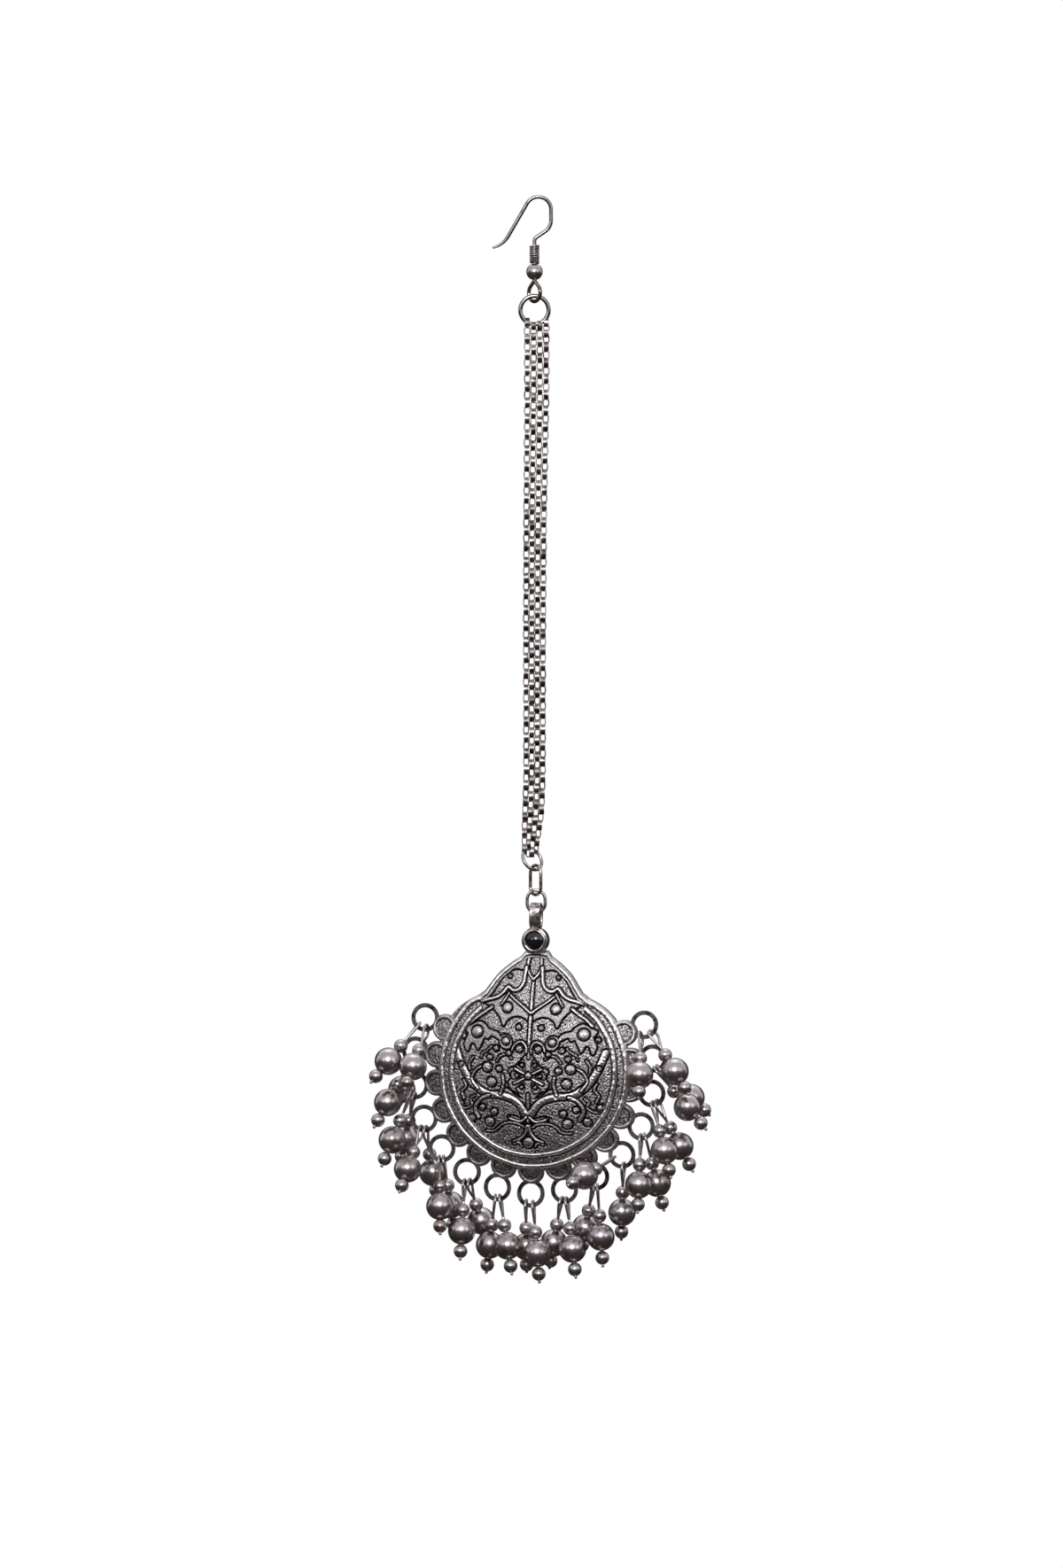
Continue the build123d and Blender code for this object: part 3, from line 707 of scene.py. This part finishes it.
def bandRelief(angle, radius, out, inner):
    # the two roped ridges, the scallops outside them, and the plain rim of the cap, with painted shade at
    # their feet and in their creases
    look = medallion
    x, z = radius * np.sin(angle), radius * np.cos(angle)
    turned = np.abs(angle)
    start = look["ridgeStart"]
    fade = look["ridgeFade"]
    onRing = smoothStep(turned, math.radians(start), math.radians(start + fade))
    high = np.full(radius.shape, -0.04)
    oxideAndShade = np.zeros(radius.shape)
    for ring, half, tall in (look["outerRidge"], look["innerRidge"]):
        crest = ringAt(angle, ring) + 0.05 * np.sin(5 * angle + ring)
        crest = crest + 0.03 * np.sin(17 * angle + 2 * ring)
        crest = np.minimum(crest, out - half - 0.08)
        rope = 1 + 0.05 * np.sin(37 * angle + 1.3 * np.sin(9 * angle)) + 0.03 * np.sin(89 * angle + ring)
        away = np.abs(radius - crest) / half
        bead = np.sqrt(np.maximum(1 - away ** 2, 0))
        high = np.maximum(high, tall * rope * bead * onRing)
        # painted shade with the oxide at the foot of each ridge
        oxideAndShade = np.maximum(oxideAndShade, np.exp(-((away - 1.12) / 0.20) ** 2) * onRing)
    outer = ringAt(angle, look["outerRidge"][0] + look["outerRidge"][1])
    for number in range(look["scallopCount"]):
        middle = math.radians((number - (look["scallopCount"] - 1) / 2) * look["scallopStep"])
        middleX = look["scallopCircle"] * math.sin(middle)
        middleZ = look["scallopCircle"] * math.cos(middle)
        away = np.hypot(x - middleX, z + middleZ)
        here = (away < look["scallopRadius"] + 0.3) & (radius > outer - 0.1)
        lip = np.exp(-((away - scallop["lipAt"]) / scallop["lipWide"]) ** 2)
        floor = smoothStep(away, *scallop["floorAt"])
        boss = np.sqrt(np.maximum(1 - (away / scallop["bossRadius"]) ** 2, 0))
        cup = scallop["base"] + scallop["lipHigh"] * lip - scallop["floorDeep"] * floor
        cup = cup + scallop["bossHigh"] * boss
        crease = 0.9 * np.exp(-((away - scallop["creaseAt"]) / scallop["creaseWide"]) ** 2)
        high = np.where(here, np.maximum(cup, high * (radius < outer)), high)
        # painted shade with the oxide in each scallop's crease
        oxideAndShade = np.where(here, np.maximum(crease, 0.1 * floor), oxideAndShade)
    fromEdge = out - radius
    # the cap's rim: a raised border with a line cut inside it
    plain = 0.23 + 0.07 * smoothStep(fromEdge, 0.95, 0.55)
    plain -= 0.10 * np.exp(-((fromEdge - 0.98) / 0.10) ** 2)
    plain -= 0.12 * smoothStep(fromEdge, 0.45, look["edgeRound"])
    high = high * onRing + plain * (1 - onRing)
    # painted shade with the oxide in the line cut inside the cap's rim
    oxideAndShade = np.maximum(oxideAndShade, 0.9 * np.exp(-((fromEdge - 0.98) / 0.13) ** 2) * (1 - onRing))
    rising = smoothStep(radius - inner, 0.0, 0.15)
    high = high * rising - 0.24 * (1 - rising)
    return high, np.clip(oxideAndShade, 0, 1)


setting = dict(
    below=5.07, steps=56,
    # radius and depth of the cup's section, from inside under the stone out over the lip to the back
    profile=[(0, 0.25), (1.84, 0.25), (1.84, -0.93), (1.70, -1.05), (1.64, -1.12), (1.63, -1.18),
             (1.68, -1.26), (1.79, -1.31), (1.92, -1.31), (2.03, -1.24), (2.09, -1.12), (2.13, -1.04),
             (2.19, -1.04), (2.28, -1.02), (2.37, -0.93), (2.42, -0.80), (2.425, -0.60),
             (2.40, 0.2), (2.34, 1.30), (2.22, 1.46), (2.0, 1.50), (0, 1.50)],
)
bail = dict(width=1.9, depth=3.3, top=1.8, bottom=-3.0, wall=0.66, bevel=0.16, segments=36)


def makeSetting():
    # the section spun about the Y axis
    bm = bmesh.new()
    line = [bm.verts.new((r, depth, 0)) for r, depth in setting["profile"]]
    edges = [bm.edges.new(pair) for pair in zip(line, line[1:])]
    bmesh.ops.spin(bm, geom=line + edges, cent=(0, 0, 0), axis=(0, 1, 0), angle=2 * math.pi,
                   steps=setting["steps"], use_merge=True)
    bmesh.ops.remove_doubles(bm, verts=bm.verts, dist=mergeDist)
    bmesh.ops.recalc_face_normals(bm, faces=bm.faces)
    place = hang @ Matrix.Translation((0, 0, -setting["below"]))
    bmesh.ops.transform(bm, matrix=place, verts=bm.verts)
    newPiece(bm, "stoneSetting", "pendant", silver["settingSilver"], ["medallion"], 38)


def makeBail():
    look = bail
    bm = bmesh.new()
    bmesh.ops.create_cone(bm, cap_ends=False, segments=look["segments"], radius1=1, radius2=1,
                          depth=look["width"], matrix=Matrix.Rotation(math.radians(90), 4, "Y"))
    half = look["depth"] / 2
    straight = (look["top"] - look["bottom"]) / 2 - half
    middle = (look["top"] + look["bottom"]) / 2
    for v in bm.verts:
        up = 1 if v.co.z >= 0 else -1
        v.co.y *= half
        v.co.z = middle + v.co.z * half + up * straight
    bmesh.ops.recalc_face_normals(bm, faces=bm.faces)
    bmesh.ops.solidify(bm, geom=bm.faces[:], thickness=look["wall"])
    bmesh.ops.recalc_face_normals(bm, faces=bm.faces)
    rims = [e for e in bm.edges if e.calc_face_angle(0) > math.radians(60)]
    bmesh.ops.bevel(bm, geom=rims, offset=look["bevel"], offset_type="OFFSET", affect="EDGES",
                    segments=3, profile=0.5, material=-1)
    bmesh.ops.transform(bm, matrix=hang, verts=bm.verts)
    newPiece(bm, "bailLoop", "pendant", silver["settingSilver"], ["medallion"], 50)


def makeEyelets():
    # soldered rings at the scallops, none of them quite true
    look = medallion
    for number in range(look["scallopCount"]):
        angle = math.radians((number - (look["scallopCount"] - 1) / 2) * look["scallopStep"])
        bm = bmesh.new()
        section = Matrix.Translation((look["eyeletRadius"], 0, 0))
        bmesh.ops.create_circle(bm, segments=12, radius=look["eyeletWire"] / 2, matrix=section)
        bmesh.ops.spin(bm, geom=bm.verts[:] + bm.edges[:], cent=(0, 0, 0), axis=(0, 0, 1),
                       angle=2 * math.pi, steps=40, use_merge=True)
        bmesh.ops.remove_doubles(bm, verts=bm.verts, dist=mergeDist)
        bmesh.ops.recalc_face_normals(bm, faces=bm.faces)
        lean, oval = look["eyeletLean"], look["eyeletOval"]
        standing = Matrix.Rotation(math.radians(90 + rng.uniform(-lean, lean)), 4, "X")
        squeeze = Matrix.Diagonal((1 + rng.uniform(-oval, oval), 1 + rng.uniform(-oval, oval), 1, 1))
        place = onDisc @ Matrix.Translation((look["eyeletCircle"] * math.sin(angle), look["eyeletY"],
                                             -look["eyeletCircle"] * math.cos(angle)))
        bmesh.ops.transform(bm, matrix=place @ standing @ squeeze, verts=bm.verts)
        newPiece(bm, f"eyelet{number + 1:02d}", "pendant", silver["ringSilver"],
                 ["medallion"], 180)


makeReliefField()
print("relief carved")
makePlate()
makeSetting()
makeBail()
makeEyelets()
print("medallion made")


# studio: a pale floor well below, a dim room for the metal to reflect, soft lamps; in metres, but for the
# floor's grain and the camera's sensor, which are in millimetres. The room's walls are painted light and
# shade: sheets seen in reflections alone, dark below and pale above.
studio = dict(
    floorZ=-0.30, floorRadius=0.62, floorTone=(0.80, 0.79, 0.78), floorRough=0.85, floorGrain=3.0,
    # the walls' painted shade and light: dark to pale between these two heights
    roomRadius=3.4, roomRough=0.9, wallDark=(0.035, 0.028, 0.026), wallPale=(0.78, 0.78, 0.82),
    paleFrom=-0.1, paleTo=1.0, apronTone=(0.030, 0.020, 0.017),
    wallFoot=-0.3, wallTop=2.6, ceilingReach=-0.1, ceilingTop=4.4, backTop=2.2, wallTurn=100,
    backTurn=62, apronInner=(-0.01, -0.292), apronOuter=(-3.6, -0.290),
    worldFill=0.8, sensor=36,
    cameraBack=2.0, viewHeight=0.2832, viewCentre=(-0.00064, -0.1057),
)
pendantAt = (0, 0, -0.13)  # most lamps point here
# name, place, what it points at, size, strength in watts
lamps = [
    ("keySoftbox", (-0.15, -1.70, 0.50), pendantAt, 0.70, 4.8),
    ("sparkLamp", (-0.12, -1.80, 0.36), pendantAt, 0.12, 3.6),
    ("wallWash", (-0.10, -2.30, 0.95), (-0.10, -3.4, 1.00), 0.50, 36.0),
    ("sideSoftbox", (1.20, -1.2, 0.30), pendantAt, 0.70, 1.7),
    ("leftSoftbox", (-1.10, -1.30, 0.25), pendantAt, 0.45, 1.1),
    ("topSoftbox", (0.0, 0.25, 1.15), pendantAt, 0.80, 1.8),
]


def makeFloor():
    bm = bmesh.new()
    bmesh.ops.create_circle(bm, cap_ends=True, radius=studio["floorRadius"], segments=96)
    bmesh.ops.translate(bm, vec=(0, 0, studio["floorZ"]), verts=bm.verts)
    mesh = bpy.data.meshes.new("studioFloor")
    bm.to_mesh(mesh)
    bm.free()
    floor = bpy.data.objects.new("studioFloor", mesh)
    bpy.context.collection.objects.link(floor)
    mat = bpy.data.materials.new("floorPaper")
    mat.use_nodes = True
    tree = mat.node_tree
    shader = tree.nodes["Principled BSDF"]
    shader.inputs["Roughness"].default_value = studio["floorRough"]
    where = tree.nodes.new("ShaderNodeTexCoord").outputs["Object"]
    grain = noiseOf(tree, where, studio["floorGrain"], 3)
    pale = tuple(0.97 * c for c in studio["floorTone"])
    link(tree, mixOf(tree, grain, studio["floorTone"], pale), shader.inputs["Base Color"])
    mesh.materials.append(mat)


def curtain(name, low, high, turn, mat):
    # a strip swept round the studio by turn degrees to either side, seen in reflections alone
    bm = bmesh.new()
    line = [bm.verts.new((0, *low)), bm.verts.new((0, *high))]
    edge = bm.edges.new(line)
    start = Matrix.Rotation(math.radians(-turn), 3, "Z")
    bmesh.ops.rotate(bm, verts=bm.verts, cent=(0, 0, 0), matrix=start)
    bmesh.ops.spin(bm, geom=[*line, edge], cent=(0, 0, 0), axis=(0, 0, 1),
                   angle=math.radians(2 * turn), steps=48)
    mesh = bpy.data.meshes.new(name)
    bm.to_mesh(mesh)
    bm.free()
    mesh.materials.append(mat)
    strip = bpy.data.objects.new(name, mesh)
    bpy.context.collection.objects.link(strip)
    strip.visible_camera = False
    strip.visible_diffuse = False
    strip.visible_shadow = False


def makeRoom():
    wall = bpy.data.materials.new("roomWall")
    wall.use_nodes = True
    tree = wall.node_tree
    shader = tree.nodes["Principled BSDF"]
    shader.inputs["Roughness"].default_value = studio["roomRough"]
    # painted light and shade: the walls' colour runs from dark at the foot to pale at the top
    split = tree.nodes.new("ShaderNodeSeparateXYZ")
    link(tree, tree.nodes.new("ShaderNodeTexCoord").outputs["Object"], split.inputs[0])
    upward = rangeOf(tree, split.outputs["Z"], studio["paleFrom"], studio["paleTo"])
    link(tree, mixOf(tree, upward, studio["wallDark"], studio["wallPale"]), shader.inputs["Base Color"])
    # painted shade: a dark sheet under and behind the pendant, seen in reflections alone
    apron = bpy.data.materials.new("paintedShadeSheet")
    apron.use_nodes = True
    shader = apron.node_tree.nodes["Principled BSDF"]
    shader.inputs["Base Color"].default_value = (*studio["apronTone"], 1)
    shader.inputs["Roughness"].default_value = studio["roomRough"]
    away, foot, top, turn = -studio["roomRadius"], studio["wallFoot"], studio["wallTop"], studio["wallTurn"]
    curtain("roomWall", (away, foot), (away, top), turn, wall)
    curtain("roomCeiling", (away, top), (studio["ceilingReach"], studio["ceilingTop"]), turn, wall)
    curtain("backWall", (-away, foot), (-away, studio["backTop"]), studio["backTurn"], apron)
    curtain("darkApron", studio["apronInner"], studio["apronOuter"], 180, apron)


def makeLamp(name, place, target, size, watts):
    data = bpy.data.lights.new(name, "AREA")
    data.shape = "DISK"
    data.size = size
    data.energy = watts
    lamp = bpy.data.objects.new(name, data)
    lamp.location = place
    lamp.rotation_euler = (Vector(target) - Vector(place)).to_track_quat("-Z", "Y").to_euler()
    bpy.context.collection.objects.link(lamp)


def makeWorld():
    world = bpy.data.worlds.new("studioWorld")
    bpy.context.scene.world = world
    world.use_nodes = True
    tree = world.node_tree
    tree.nodes.clear()
    path = tree.nodes.new("ShaderNodeLightPath")
    seen = path.outputs["Is Camera Ray"]
    for other in ("Is Glossy Ray", "Is Transmission Ray"):
        larger = tree.nodes.new("ShaderNodeMath")
        larger.operation = "MAXIMUM"
        link(tree, seen, larger.inputs[0])
        link(tree, path.outputs[other], larger.inputs[1])
        seen = larger.outputs[0]
    fill = tree.nodes.new("ShaderNodeBackground")
    fill.inputs["Color"].default_value = (1, 1, 1, 1)
    fill.inputs["Strength"].default_value = studio["worldFill"]
    white = tree.nodes.new("ShaderNodeBackground")
    white.inputs["Color"].default_value = (1, 1, 1, 1)
    white.inputs["Strength"].default_value = 1.0
    mix = tree.nodes.new("ShaderNodeMixShader")
    link(tree, seen, mix.inputs[0])
    link(tree, fill.outputs[0], mix.inputs[1])
    link(tree, white.outputs[0], mix.inputs[2])
    out = tree.nodes.new("ShaderNodeOutputWorld")
    link(tree, mix.outputs[0], out.inputs["Surface"])


def makeCamera():
    data = bpy.data.cameras.new("studioCamera")
    data.sensor_width = studio["sensor"]
    data.lens = studio["sensor"] * studio["cameraBack"] / studio["viewHeight"]
    camera = bpy.data.objects.new("studioCamera", data)
    x, z = studio["viewCentre"]
    camera.location = (x, -studio["cameraBack"], z)
    camera.rotation_euler = (math.radians(90), 0, 0)
    bpy.context.collection.objects.link(camera)
    bpy.context.scene.camera = camera


makeFloor()
makeRoom()
for lamp in lamps:
    makeLamp(*lamp)
makeWorld()
makeCamera()
bpy.context.scene.view_settings.view_transform = "Standard"
print("studio made")
